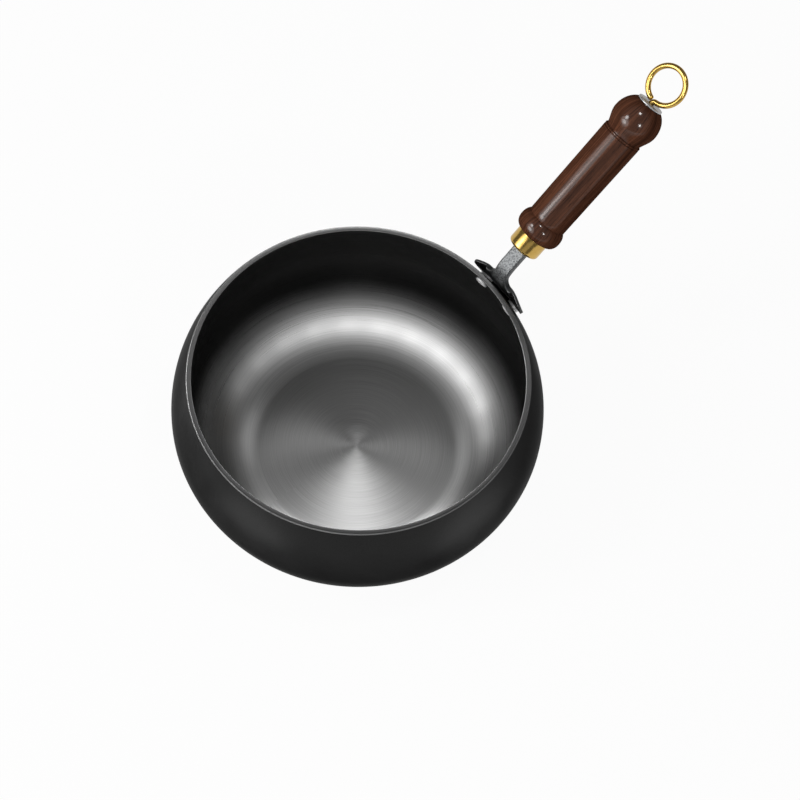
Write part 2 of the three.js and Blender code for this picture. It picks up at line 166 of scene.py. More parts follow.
# %% Node group: metal skin
metal_skin, given, result = new_group(
    "metal_skin",
    [("Vector", "NodeSocketVector"), ("Grain Scale", "NodeSocketFloat"), ("Patch Scale", "NodeSocketFloat")],
    [("Grain", "NodeSocketFloat"), ("Patches", "NodeSocketFloat")],
)
metal_skin.links.new(noise(metal_skin, given["Vector"], given["Grain Scale"], 3.0, 0.6), result["Grain"])
metal_skin.links.new(noise(metal_skin, given["Vector"], given["Patch Scale"], 4.0, 0.55), result["Patches"])
print("group", metal_skin.name, "with", len(metal_skin.nodes), "nodes")

# %% [markdown]
# ## Wear on edges
# Hands, cloths and hooks polish the edges first. The wear could be painted on by hand, but Pointiness
# finds the edges by itself: it says how far a point of the mesh stands out from its neighbours. A noise
# breaks the line up, because wear is never even.

# %% Node group: worn edges
worn_edges, given, result = new_group(
    "worn_edges",
    [("Vector", "NodeSocketVector"), ("Start", "NodeSocketFloat"), ("Full", "NodeSocketFloat")],
    [("Wear", "NodeSocketFloat")],
)
pointiness = node(worn_edges, "ShaderNodeNewGeometry").outputs["Pointiness"]
stands_out = remap(worn_edges, pointiness, given["Start"], given["Full"], 0.0, 1.0)
broken = remap(worn_edges, noise(worn_edges, given["Vector"], 900.0), 0.3, 0.6, 0.35, 1.0)
worn_edges.links.new(calculate(worn_edges, "MULTIPLY", stands_out, broken), result["Wear"])
print("group", worn_edges.name, "with", len(worn_edges.nodes), "nodes")

# %% [markdown]
# ## Black iron outside
# The outside is bare iron with a dark oiled skin. Black paint under a clear gloss would come near, but
# iron has no clear layer, so this is a metal that reflects very little. Its tint at grazing angles is low
# too, or the white floor would draw a bright line round the belly. Broad patches change the tone and the
# gloss a little, and faint rings from spinning run round the pot.

# %% Helpers: a new material and its links
def new_material(name, **constants):
    """A material with its shader and object coordinates. Constants go straight to the shader's sockets."""
    material = bpy.data.materials.new(name)
    material.use_nodes = True
    tree = material.node_tree
    shader = tree.nodes["Principled BSDF"]
    for socket, value in constants.items():
        shader.inputs[socket.replace("_", " ")].default_value = value
    place = node(tree, "ShaderNodeTexCoord").outputs["Object"]
    return material, tree, shader, place


def feed(tree, shader, **sources):
    """Links outputs to the shader's inputs. An underscore in a name stands for a space."""
    for socket, source in sources.items():
        tree.links.new(source, shader.inputs[socket.replace("_", " ")])


def use_group(tree, group, **inputs):
    """Places a node group in a material and returns its outputs."""
    made = tree.nodes.new("ShaderNodeGroup")
    made.node_tree = group
    for socket, value in inputs.items():
        if isinstance(value, bpy.types.NodeSocket):
            tree.links.new(value, made.inputs[socket])
        else:
            made.inputs[socket].default_value = value
    return made.outputs


def bump(tree, height, distance):
    """A normal from a height. The distance is the depth of the marks in metres."""
    return node(tree, "ShaderNodeBump", {"Height": height, "Distance": distance}).outputs[0]


print("helpers for materials: new_material, feed, use_group, bump")

# %% Material: outside of the pot
oiled_iron, tree, shader, place = new_material("oiled_iron", Metallic=1.0, Specular_Tint=(0.4, 0.4, 0.4, 1))
skin = use_group(tree, metal_skin, **{"Vector": place, "Grain Scale": 1400.0, "Patch Scale": 28.0})
rings = use_group(tree, turning_marks, Vector=place, Spacing=0.0016)["Marks"]
patch_tone = mix_colours(tree, skin["Patches"], (0.015, 0.015, 0.015, 1), (0.030, 0.030, 0.030, 1))
grain_tone = remap(tree, skin["Grain"], 0.3, 0.7, 0.0, 0.35)
iron_tone = mix_colours(tree, grain_tone, patch_tone, (0.042, 0.042, 0.042, 1))
iron_gloss = remap(tree, skin["Patches"], 0.3, 0.7, 0.38, 0.5)
iron_relief = calculate(tree, "ADD", calculate(tree, "MULTIPLY", rings, 0.6), skin["Grain"])
feed(tree, shader, Base_Color=iron_tone, Roughness=iron_gloss, Normal=bump(tree, iron_relief, 0.00003))
print("finish", oiled_iron.name)

# %% [markdown]
# ## Black iron inside
# The floor and the curve above it were turned and then ground, so they are paler and show fine rings. The
# grooves are finer than a pixel, so a bump alone would be lost. The shader's anisotropy gives what they
# do to light: with its tangent running round the axis, it stretches every highlight across the rings.
# Further up, the tone falls with height: partly the wall's dark skin, and partly painted shade for the
# dark room that the upper wall mirrors.

# %% Material: inside of the pot
ground_iron, tree, shader, place = new_material(
    "ground_iron", Metallic=1.0, Anisotropic=0.75, Anisotropic_Rotation=0.25
)
skin = use_group(tree, metal_skin, **{"Vector": place, "Grain Scale": 900.0, "Patch Scale": 22.0})
rings = use_group(tree, turning_marks, Vector=place, Spacing=0.0005)["Marks"]
height = node(tree, "ShaderNodeSeparateXYZ", {0: place}).outputs["Z"]
ragged_height = calculate(tree, "ADD", height, calculate(tree, "MULTIPLY", skin["Patches"], 0.006))
# The darker upper wall is partly dark skin and partly painted shade.
ground_to_skin_and_shade = {"Value": ragged_height, "From Min": 0.022, "From Max": 0.044}
skin_and_shade_share = node(tree, "ShaderNodeMapRange", ground_to_skin_and_shade, interpolation_type="SMOOTHSTEP").outputs[0]
ring_share = remap(tree, rings, 0.3, 0.7, 0.0, 1.0)
floor_tone = mix_colours(tree, ring_share, (0.26, 0.26, 0.26, 1), (0.34, 0.34, 0.338, 1))
inside_tone = mix_colours(tree, skin_and_shade_share, floor_tone, (0.029, 0.029, 0.029, 1))
ring_gloss = remap(tree, rings, 0.25, 0.75, 0.29, 0.35)
wall_gloss = remap(tree, height, 0.004, 0.012, 0.0, -0.03)
inside_gloss = calculate(tree, "ADD", ring_gloss, wall_gloss)
tangent = node(tree, "ShaderNodeTangent", direction_type="RADIAL", axis="Z").outputs[0]
feed(tree, shader, Base_Color=inside_tone, Roughness=inside_gloss, Tangent=tangent)
feed(tree, shader, Normal=bump(tree, rings, 0.000004))
print("finish", ground_iron.name)

# %% [markdown]
# ## The cut rim
# The rim was faced off flat after spinning. It is a little paler than the wall, with fine rings. Its two
# corners are paler still: partly worn bright by spoons and cloths, and partly a painted highlight that
# makes the bright line along each edge. Edge wear could find the corners by itself, but these two lines
# run evenly all the way round, so each corner has a narrow band of faces with a finish of its own.

# %% Materials: rim and its corners
cut_iron, tree, shader, place = new_material("cut_iron", Metallic=1.0)
rings = use_group(tree, turning_marks, Vector=place, Spacing=0.0006)["Marks"]
rim_tone = mix_colours(tree, rings, (0.038, 0.038, 0.038, 1), (0.070, 0.070, 0.070, 1))
feed(tree, shader, Base_Color=rim_tone, Roughness=remap(tree, rings, 0.3, 0.7, 0.34, 0.46))
feed(tree, shader, Normal=bump(tree, rings, 0.00002))

# Paler iron on the rim's corners: partly wear, partly a painted highlight line along each edge.
worn_edge_and_highlight, tree, shader, place = new_material("worn_edge_and_highlight", Metallic=1.0)
skin = use_group(tree, metal_skin, **{"Vector": place, "Grain Scale": 700.0, "Patch Scale": 60.0})
edge_tone = mix_colours(tree, skin["Patches"], (0.07, 0.07, 0.07, 1), (0.17, 0.17, 0.17, 1))
feed(tree, shader, Base_Color=edge_tone, Roughness=remap(tree, skin["Grain"], 0.3, 0.7, 0.3, 0.42))
feed(tree, shader, Normal=bump(tree, skin["Grain"], 0.00001))
print("finishes", cut_iron.name, "and", worn_edge_and_highlight.name)

# %% [markdown]
# ## Turned pieces
# The pot was spun on a lathe, and so were the grip, the ferrule and the washer. A turned shape is one
# profile of radius and height, carried round an axis. A Screw modifier could do that, but building the
# rings in code keeps every edge loop where the profile puts it, and lets each stretch of the profile take
# its own finish.

# %% Helper: a profile carried round the Z axis
def turned(profile, segments):
    """Rings of points round the Z axis, with the number of the profile stretch that each face came from."""
    points, rings, faces, stretches = [], [], [], []
    for radius, height in profile:
        first = len(points)
        if radius < 1e-6:
            points.append((0.0, 0.0, height))
            rings.append([first] * segments)
            continue
        for k in range(segments):
            angle = 2 * math.pi * k / segments
            points.append((radius * math.cos(angle), radius * math.sin(angle), height))
        rings.append(list(range(first, first + segments)))
    for i in range(len(rings) - 1):
        for k in range(segments):
            after = (k + 1) % segments
            loop = [rings[i][k], rings[i][after], rings[i + 1][after], rings[i + 1][k]]
            corners = list(dict.fromkeys(loop))
            if len(corners) > 2:
                faces.append(corners)
                stretches.append(i)
    return points, faces, stretches


print("a plain tube with 8 sides has", len(turned([(1, 0), (1, 1)], 8)[1]), "faces")

# %% Helpers: from points to a dressed piece
MM = 0.001


def make_piece(name, points, faces, place=None, sharp=38.0):
    """A smooth-shaded object from points in millimetres, keeping edges sharper than the given angle."""
    mesh = bpy.data.meshes.new(name)
    mesh.from_pydata([[MM * value for value in point] for point in points], [], faces)
    work = bmesh.new()
    work.from_mesh(mesh)
    bmesh.ops.remove_doubles(work, verts=work.verts, dist=1e-7)
    bmesh.ops.recalc_face_normals(work, faces=work.faces)
    work.to_mesh(mesh)
    work.free()
    mesh.shade_smooth()
    mesh.set_sharp_from_angle(angle=math.radians(sharp))
    piece = bpy.data.objects.new(name, mesh)
    bpy.context.collection.objects.link(piece)
    if place is not None:
        piece.matrix_world = place
    return piece


def dress(piece, body, node, slot, *finishes):
    """Lets a piece ride on a body in place of a plain solid, and gives it its finishes."""
    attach(piece, body)
    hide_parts(node)
    for finish in finishes:
        piece.data.materials.append(finish)
    print(piece.name, "stands for", node, "with", len(piece.data.polygons), "faces")


print("helpers for pieces: make_piece, dress")

# %% [markdown]
# ## The pot body
# One profile runs from the middle of the underside, up the outside, over the rim and back down the
# inside. A squashed ball would be quicker, but this belly has two different curves. Below its widest
# place the wall is part of a squarish ellipse, so the flat floor flows into it without a corner. Above it
# the wall draws in faster and faster towards the rim. The outside, the corners of the rim, its flat and
# the inside each take their own iron finish.

# %% Pot body: sizes in millimetres
rim_radius = 120.0
pot_height = 120.0
belly_radius = 133.4
belly_height = 66.8
base_radius = 72.0
wall = 3.6
floor_thickness = 4.0
rim_rounding = 0.5
rim_corner_start = 12
rim_corner_steps = 4
upper_power = 2.05
lower_power = 1.8
pot_segments = 240
print("pot", 2 * rim_radius, "mm across the rim and", 2 * belly_radius, "mm across the belly")

# %% Pot body: the curve of the wall
def between(a, b, share):
    """The value that is a share of the way from a to b."""
    return a + (b - a) * share


def outer_radius_at(height):
    """Outside radius of the wall between the belly and the rim."""
    share = (height - belly_height) / (pot_height - belly_height)
    return belly_radius + (rim_radius - belly_radius) * share ** upper_power


def wall_curve(floor_height, inset):
    """The wall from the edge of the flat floor to the foot of the rim's rounding."""
    steps = 40
    points = []
    for i in range(steps + 1):
        angle = math.pi / 2 * i / steps
        across = math.sin(angle) ** (2 / lower_power)
        up = 1 - max(0.0, math.cos(angle)) ** (2 / lower_power)
        radius = between(base_radius, belly_radius - inset, across)
        points.append((radius, between(floor_height, belly_height, up)))
    for i in range(1, steps + 1):
        height = between(belly_height, pot_height - rim_rounding, i / steps)
        points.append((outer_radius_at(height) - inset, height))
    return points


half_way = outer_radius_at(between(belly_height, pot_height, 0.5))
print("outer radius half way from belly to rim:", round(half_way, 2), "mm")

# %% Pot body: the whole profile
def arc(centre, radius, start, end, steps):
    """Points of a round corner. Angles in degrees from the radius direction."""
    points = []
    for i in range(steps + 1):
        angle = math.radians(start + (end - start) * i / steps)
        points.append((centre[0] + radius * math.cos(angle), centre[1] + radius * math.sin(angle)))
    return points


def flat_disc(radius, height, steps=12):
    """A flat floor from the middle out, without its edge."""
    return [(radius * i / steps, height) for i in range(steps)]


rim_middle = pot_height - rim_rounding
outer_middle = (rim_radius - rim_rounding, rim_middle)
inner_middle = (rim_radius - wall + rim_rounding, rim_middle)
outer_corner = arc(outer_middle, rim_rounding, rim_corner_start, 90, rim_corner_steps)
inner_corner = arc(inner_middle, rim_rounding, 90, 180 - rim_corner_start, rim_corner_steps)
outside_profile = flat_disc(base_radius, 0.0) + wall_curve(0.0, 0.0)
rim_profile = outer_corner + inner_corner
inside_profile = wall_curve(floor_thickness, wall)[::-1] + flat_disc(base_radius, floor_thickness)[::-1]
pot_profile = outside_profile + rim_profile + inside_profile
print("profile of", len(pot_profile), "points")

# %% Pot body: mesh and finishes
points, faces, stretches = turned(pot_profile, pot_segments)
pot = make_piece("pot_shell", points, faces)
rim_first = len(outside_profile) - 1
rim_flat = rim_first + len(outer_corner)
rim_last = rim_first + len(rim_profile)
# The stretches where the corner, the flat, the second corner and the inside begin
finish_starts = (rim_first, rim_flat, rim_flat + 1, rim_last + 1)
finish_order = (0, 1, 2, 1, 3)
for polygon, stretch in zip(pot.data.polygons, stretches):
    passed = sum(stretch >= start for start in finish_starts)
    polygon.material_index = finish_order[passed]
dress(pot, "pot", "pot_body", "black_iron", oiled_iron, worn_edge_and_highlight, cut_iron, ground_iron)

# %% [markdown]
# ## Forged steel
# The bracket was forged. The top of the neck was ground to a grey, grainy face. The plate and the sides
# of the neck are dark: partly a dark scale, and partly painted shade below the bend and beside the neck.
# Two materials could meet there, but one can do both: height and the distance from the middle say how
# much of the ground face shows, and the grain makes the border ragged.
# The grain is coarse enough to see, so it is both a change of tone and a bump. Edges are polished a
# little by use.

# %% Material: forged steel
forged_steel, tree, shader, place = new_material("forged_steel", Metallic=1.0)
skin = use_group(tree, metal_skin, **{"Vector": place, "Grain Scale": 850.0, "Patch Scale": 120.0})
wear = use_group(tree, worn_edges, Vector=place, Start=0.515, Full=0.56)["Wear"]
parts = node(tree, "ShaderNodeSeparateXYZ", {0: place}).outputs
ground_tone = mix_colours(tree, skin["Patches"], (0.21, 0.217, 0.22, 1), (0.33, 0.338, 0.342, 1))
grain_share = remap(tree, skin["Grain"], 0.35, 0.6, 0.0, 1.0)
ground_tone = mix_colours(tree, grain_share, (0.060, 0.063, 0.066, 1), ground_tone)
ragged_height = calculate(tree, "ADD", parts["Z"], calculate(tree, "MULTIPLY", skin["Grain"], 0.006))
# Dark below the bend and beside the neck: partly forge scale, partly painted shade.
beside_neck = remap(tree, calculate(tree, "ABSOLUTE", parts["Y"]), 0.0050, 0.0064, 1.0, 0.12)
ground_and_unshaded_share = calculate(tree, "MULTIPLY", remap(tree, ragged_height, 0.120, 0.129, 0.0, 1.0), beside_neck)
steel_tone = mix_colours(tree, ground_and_unshaded_share, (0.035, 0.036, 0.037, 1), ground_tone)
steel_tone = mix_colours(tree, wear, steel_tone, (0.42, 0.42, 0.42, 1))
feed(tree, shader, Base_Color=steel_tone, Roughness=remap(tree, skin["Grain"], 0.3, 0.7, 0.42, 0.62))
feed(tree, shader, Normal=bump(tree, skin["Grain"], 0.00012))
print("finish", forged_steel.name)

# %% [markdown]
# ## The bracket
# A plate shaped like a half-moon follows the wall. Out of its top edge comes a neck that bends over the
# rim and runs on as a round tang inside the grip. Plate, neck and tang are built as three overlapping
# skins. A boolean union would join them with sharp seams, so a voxel remesh melts them into one body, as
# the smith did, and a little smoothing rounds every corner.

# %% Bracket: sizes
rivet_drop = 18.5
rivet_height = pot_height - rivet_drop
rivet_span = 30.6
stand_off = 2.3
collar_radius = 5.4
wing_thickness = 2.6
wing_width = 54.0
wing_below = 12.0
wing_tip_height = 11.0
wing_tip_radius = 3.5
wing_top_at_neck = 20.5
wing_curl = 2.4
wing_curl_start = 0.25
wing_press = 2.4
neck_width = 11.8
neck_thickness = 5.8
neck_corner = 1.4
neck_bend_radius = 20.0
neck_flare = 7.5
tang_radius = 2.8
tang_length = 72.0
handle_rise = math.radians(41)
handle_reach = 24.1
handle_lift = 25.6
print("plate", wing_width, "mm wide and", wing_thickness, "mm thick")

# %% Bracket: how the wall leans at the rivets
upper_span = pot_height - belly_height
drawn_in = (belly_radius - rim_radius) / upper_span
rivet_share = (rivet_height - belly_height) / upper_span
wall_lean = math.atan(drawn_in * upper_power * rivet_share ** (upper_power - 1))
rivet_wall_radius = outer_radius_at(rivet_height)
wing_mid_offset = stand_off + wing_thickness / 2
wing_mid_radius = rivet_wall_radius + wing_mid_offset * math.cos(wall_lean)
# Places of the side view, as X and Z
handle_start = Vector((rim_radius + handle_reach, pot_height + handle_lift))
handle_axis = Vector((math.cos(handle_rise), math.sin(handle_rise)))
print("wall leans", round(math.degrees(wall_lean), 1), "degrees at the rivets")

# %% Helpers: a closed skin over rings, and a smooth rise
def skin_faces(rings):
    """Faces of a closed skin over rings of equal length, with a fan on each end."""
    count = len(rings[0])
    points = [tuple(point) for ring in rings for point in ring]
    faces = []
    for i in range(len(rings) - 1):
        for j in range(count):
            after = (j + 1) % count
            faces.append([i * count + j, i * count + after, (i + 1) * count + after, (i + 1) * count + j])
    last = (len(rings) - 1) * count
    faces.append(list(range(count))[::-1])
    faces.append(list(range(last, last + count)))
    return points, faces


def ease(value, low, high):
    """0 below low, 1 above high, and a smooth rise between them."""
    share = min(1.0, max(0.0, (value - low) / (high - low)))
    return share * share * (3 - 2 * share)


print("half way up the rise:", ease(0.5, 0, 1))

# %% Bracket: the shape of the wing plate
def wing_bend(along, up):
    """How far the plate leaves a plain cone: it curls out with the neck and is pressed in at the bottom."""
    beside = (abs(along) - neck_width / 2) / (wing_width / 2 - neck_width / 2)
    swell = math.sin(math.pi * between(wing_curl_start, 1, min(1.0, max(0.0, beside))))
    curl = wing_curl * swell * ease(up, collar_radius, wing_top_at_neck)
    return curl - wing_press * ease(-up, collar_radius, wing_below)


def wing_point(along, up, out):
    """A point of the plate, by its way along the wall, up its lean and out of it."""
    bent = out + wing_bend(along, up)
    radius = wing_mid_radius + bent * math.cos(wall_lean) - up * math.sin(wall_lean)
    height = rivet_height + (wing_mid_offset + bent) * math.sin(wall_lean) + up * math.cos(wall_lean)
    angle = along / wing_mid_radius
    return (radius * math.cos(angle), radius * math.sin(angle), height)


def wing_edges(along):
    """Lower and upper edge of the plate at a distance from its middle."""
    half = wing_width / 2
    away = abs(along)
    shoulder = neck_width / 2 + neck_flare
    fall = min(1.0, max(0.0, (away - shoulder) / (half - shoulder)))
    tip_top = wing_tip_height + wing_tip_radius
    top = tip_top + (wing_top_at_neck - tip_top) * (1 - fall)
    into_tip = max(0.0, away - (half - wing_tip_radius))
    rounding = wing_tip_radius - math.sqrt(wing_tip_radius ** 2 - into_tip ** 2)
    belly = math.sqrt(1 - (away / half) ** 2)
    return wing_tip_height - (wing_tip_height + wing_below) * belly, top - rounding


print("plate's edges in the middle:", [round(value, 2) for value in wing_edges(0.0)], "mm from the rivets")

# %% Bracket: the skin of the wing plate
wing_thin_edge = 0.72
wing_edge_width = 1.6
wing_reach = 0.99
wing_columns = 96
wing_rows = 24
row_shares = [0.5 - 0.5 * math.cos(math.pi * j / wing_rows) for j in range(wing_rows + 1)]
wing_rings = []
for i in range(wing_columns + 1):
    along = -wing_reach * wing_width / 2 * math.cos(math.pi * i / wing_columns)
    low, high = wing_edges(along)
    heights = [between(low, high, share) for share in row_shares]
    thinning = [between(wing_thin_edge, 1, ease(high - up, 0, wing_edge_width)) for up in heights]
    halves = [wing_thickness / 2 * thin for thin in thinning]
    inner = [wing_point(along, up, -half) for up, half in zip(heights, halves)]
    outer = [wing_point(along, up, half) for up, half in zip(heights[::-1], halves[::-1])]
    wing_rings.append(inner + outer)
wing_points, wing_faces = skin_faces(wing_rings)
print("wing plate:", len(wing_points), "points")

# %% Bracket: where the neck bends
wing_direction = Vector((-math.sin(wall_lean), math.cos(wall_lean)))
wing_foot = Vector((wing_mid_radius, rivet_height + wing_mid_offset * math.sin(wall_lean)))


def cross_2d(a, b):
    """How far two flat directions are from parallel, which finds where two lines meet."""
    return a.x * b.y - a.y * b.x


foot_to_corner = cross_2d(handle_start - wing_foot, handle_axis) / cross_2d(wing_direction, handle_axis)
bend_turn = math.pi / 2 + wall_lean - handle_rise
bend_tangent = neck_bend_radius * math.tan(bend_turn / 2)
bend_start = wing_foot + wing_direction * (foot_to_corner - bend_tangent)
bend_end = wing_foot + wing_direction * foot_to_corner + handle_axis * bend_tangent
wing_outward = Vector((wing_direction.y, -wing_direction.x))
bend_centre = bend_start + wing_outward * neck_bend_radius
bend_length = neck_bend_radius * bend_turn
plate_top = wing_top_at_neck - foot_to_corner + bend_tangent
print("neck bends", round(math.degrees(bend_turn), 1), "degrees over the rim")

# %% Bracket: the section of the neck
def turned_by(vector, angle):
    """The same flat vector, turned by an angle."""
    c, s = math.cos(angle), math.sin(angle)
    return Vector((c * vector.x - s * vector.y, s * vector.x + c * vector.y))


neck_corner_limit = 0.45
neck_corner_steps = 4


def neck_ring(centre, along, width, thickness):
    """A rectangle with rounded corners, square to the way the neck runs and hollowed like the plate."""
    corner = min(neck_corner, neck_corner_limit * thickness)
    ring = []
    for quarter, side_y, side_n in ((0, 1, 1), (1, -1, 1), (2, -1, -1), (3, 1, -1)):
        for i in range(neck_corner_steps + 1):
            angle = math.pi / 2 * (quarter + i / neck_corner_steps)
            y = side_y * (width / 2 - corner) + corner * math.cos(angle)
            n = side_n * (thickness / 2 - corner) + corner * math.sin(angle)
            hollow = y * y / (2 * wing_mid_radius)
            ring.append((centre.x - along.y * n - hollow, y, centre.y + along.x * n))
    return ring


def neck_size(distance):
    """Width and thickness of the neck at a distance from the start of its bend."""
    thickness = between(wing_thickness, neck_thickness, ease(distance, -neck_flare, bend_length))
    rest = min(neck_flare, max(0.0, neck_flare - (distance - plate_top)))
    return neck_width + 2 * (neck_flare - math.sqrt(neck_flare ** 2 - rest ** 2)), thickness


print("neck in its bend:", [round(value, 2) for value in neck_size(bend_length / 2)], "mm")

# %% Bracket: the skin of the neck
root_steps = 12
bend_steps = 40
straight_steps = 8
ferrule_gap = 0.3
neck_rings = []
root = foot_to_corner - bend_tangent
for i in range(root_steps):
    distance = -root * (1 - i / root_steps)
    centre = bend_start + wing_direction * distance
    neck_rings.append(neck_ring(centre, wing_direction, *neck_size(distance)))
for i in range(bend_steps + 1):
    angle = bend_turn * i / bend_steps
    centre = bend_centre + turned_by(bend_start - bend_centre, -angle)
    along = turned_by(wing_direction, -angle)
    neck_rings.append(neck_ring(centre, along, *neck_size(neck_bend_radius * angle)))
straight = (handle_start - bend_end).length - ferrule_gap
for i in range(1, straight_steps + 1):
    centre = bend_end + handle_axis * straight * i / straight_steps
    neck_rings.append(neck_ring(centre, handle_axis, neck_width, neck_thickness))
neck_points, neck_faces = skin_faces(neck_rings)
print("neck:", len(neck_rings), "rings")

# %% Bracket: the skin of the tang
tang_sides = 24
tang_rings = []
for along in (-neck_thickness, tang_length / 2, tang_length):
    centre = handle_start + handle_axis * along
    ring = []
    for k in range(tang_sides):
        angle = 2 * math.pi * k / tang_sides
        y = tang_radius * math.cos(angle)
        n = tang_radius * math.sin(angle)
        ring.append((centre.x - handle_axis.y * n, y, centre.y + handle_axis.x * n))
    tang_rings.append(ring)
tang_points, tang_faces = skin_faces(tang_rings)
print("tang:", 2 * tang_radius, "mm thick and", tang_length, "mm long")

# %% Bracket: one forging
melt_step = 0.45
points, faces = [], []
for skin_points, skin in ((wing_points, wing_faces), (neck_points, neck_faces), (tang_points, tang_faces)):
    faces += [[len(points) + corner for corner in face] for face in skin]
    points += skin_points
bracket = make_piece("bracket_forging", points, faces)
melt = bracket.modifiers.new("melt_together", "REMESH")
melt.mode = "VOXEL"
melt.voxel_size = melt_step * MM
melt.use_smooth_shade = True
soften = bracket.modifiers.new("soften_corners", "SMOOTH")
soften.factor = 0.5
soften.iterations = 5
dress(bracket, "pot", "handle_bracket", "forged_steel", forged_steel)

# %% [markdown]
# ## Pale steel
# The rivets and their collars are bright steel with a satin surface, nearly white in soft light. As a
# full metal they would mirror the black iron round them, so the shader is only partly metal here. The
# washer was stamped and tumbled, which leaves a greyer steel with paler corners.

# %% Material: satin steel of the rivets
satin_steel, tree, shader, place = new_material("satin_steel", Metallic=0.45)
skin = use_group(tree, metal_skin, **{"Vector": place, "Grain Scale": 2200.0, "Patch Scale": 260.0})
rings = use_group(tree, turning_marks, Vector=place, Spacing=0.0004)["Marks"]
wear = use_group(tree, worn_edges, Vector=place, Start=0.56, Full=0.68)["Wear"]
satin_tone = mix_colours(tree, skin["Patches"], (0.72, 0.72, 0.725, 1), (0.88, 0.88, 0.88, 1))
satin_tone = mix_colours(tree, wear, satin_tone, (0.92, 0.92, 0.91, 1))
satin_relief = calculate(tree, "ADD", rings, skin["Grain"])
feed(tree, shader, Base_Color=satin_tone, Roughness=remap(tree, skin["Grain"], 0.3, 0.7, 0.42, 0.55))
feed(tree, shader, Normal=bump(tree, satin_relief, 0.000006))
print("finish", satin_steel.name)

# %% Material: tumbled steel of the washer
tumbled_steel, tree, shader, place = new_material("tumbled_steel", Metallic=1.0)
skin = use_group(tree, metal_skin, **{"Vector": place, "Grain Scale": 2200.0, "Patch Scale": 260.0})
wear = use_group(tree, worn_edges, Vector=place, Start=0.56, Full=0.68)["Wear"]
washer_tone = mix_colours(tree, skin["Patches"], (0.40, 0.40, 0.405, 1), (0.56, 0.56, 0.56, 1))
washer_tone = mix_colours(tree, wear, washer_tone, (0.80, 0.80, 0.79, 1))
feed(tree, shader, Base_Color=washer_tone, Roughness=remap(tree, skin["Grain"], 0.3, 0.7, 0.45, 0.6))
feed(tree, shader, Normal=bump(tree, skin["Grain"], 0.000006))
print("finish", tumbled_steel.name)

# %% [markdown]
# ## Rivets and collars
# Each rivet has a low round head inside the pot and an end hammered flush into the plate outside. A short
# collar on each one holds the plate off the wall. A ready-made ball or tube would have the wrong edges,
# so both are small turned shapes that sit square to the wall.

# %% Rivets and collars: sizes and place
head_radius = 5.0
head_height = 2.0
head_edge = 0.8
head_taper = 0.15
shank_radius = 2.5
shank_clearance = 0.3
sunk_radius = 4.2
sunk_depth = 1.5
hammered_rise = 0.25
collar_chamfer = 0.2
seat_gap = 0.3
inner_seat = -wall * math.cos(wall_lean) - seat_gap
plate_outside = stand_off + wing_thickness


def rivet_frame(side):
    """Origin on the outside of the wall, with local Z along the wall's outward normal."""
    place = Matrix.Rotation(side * rivet_span / 2 / wing_mid_radius, 4, "Z")
    place @= Matrix.Translation((rivet_wall_radius * MM, 0, rivet_height * MM))
    return place @ Matrix.Rotation(math.pi / 2 - wall_lean, 4, "Y")


print("rivets", rivet_span, "mm apart at a height of", rivet_height, "mm")

# %% Rivets and collars: profiles
dome_steps = 12
dome = []
for i in range(dome_steps + 1):
    angle = math.pi / 2 * i / dome_steps
    rise = (head_height - head_edge) * math.cos(angle)
    dome.append((head_radius * math.sin(angle), inner_seat - head_edge - rise))
hammered_steps = 8
hammered = []
for i in range(hammered_steps):
    angle = math.pi / 2 * i / hammered_steps
    hammered.append((sunk_radius * math.cos(angle), plate_outside + hammered_rise * math.sin(angle)))
hammered.append((0.0, plate_outside + hammered_rise))
rivet_profile = dome + [(head_radius - head_taper, inner_seat), (shank_radius, inner_seat)]
rivet_profile += [(shank_radius, plate_outside - sunk_depth)] + hammered

collar_low, collar_high = seat_gap, stand_off - seat_gap
collar_hole = shank_radius + shank_clearance
collar_profile = [(collar_hole, collar_low), (collar_radius - collar_chamfer, collar_low)]
collar_profile += [(collar_radius, collar_low + collar_chamfer)]
collar_profile += [(collar_radius, collar_high - collar_chamfer)]
collar_profile += [(collar_radius - collar_chamfer, collar_high), (collar_hole, collar_high)]
collar_profile += [(collar_hole, collar_low)]
print("rivet profile of", len(rivet_profile), "points")

# %% Rivets and collars: meshes
small_segments = 48
rivet_pieces = []
for side, label in ((1, "left"), (-1, "right")):
    points, faces, _ = turned(rivet_profile, small_segments)
    rivet = make_piece("hammered_rivet_" + label, points, faces, rivet_frame(side))
    dress(rivet, "pot", "rivet_" + label, "rivet_steel", satin_steel)
    points, faces, _ = turned(collar_profile, small_segments)
    collar = make_piece("spacer_collar_" + label, points, faces, rivet_frame(side))
    dress(collar, "pot", "rivet_collar_" + label, "rivet_steel", satin_steel)
    rivet_pieces += [rivet, collar]

# %% [markdown]
# ## Polished brass
# Brass is a warm yellow metal. A glossy yellow paint would show white reflections, but brass tints them,
# so both finishes are full metals. The ferrule was polished on the lathe, so it is nearly a mirror with
# faint rings. The eye was drawn as wire. Its tint at grazing angles is darker, or the white floor would
# wash out the sides of so thin a wire. Both share one colour, clean brass under a slight brown film that
# comes and goes.

# %% Materials: turned brass and drawn brass
def brass_colour(tree, place):
    """Clean yellow brass under a thin brown film that comes and goes."""
    skin = use_group(tree, metal_skin, **{"Vector": place, "Grain Scale": 1600.0, "Patch Scale": 140.0})
    film = remap(tree, skin["Patches"], 0.4, 0.75, 0.0, 0.6)
    return mix_colours(tree, film, (0.56, 0.37, 0.105, 1), (0.39, 0.24, 0.060, 1))


turned_brass, tree, shader, place = new_material("turned_brass", Metallic=1.0)
rings = use_group(tree, turning_marks, Vector=place, Spacing=0.0005)["Marks"]
feed(tree, shader, Base_Color=brass_colour(tree, place), Roughness=remap(tree, rings, 0.3, 0.7, 0.13, 0.21))
feed(tree, shader, Normal=bump(tree, rings, 0.0000015))

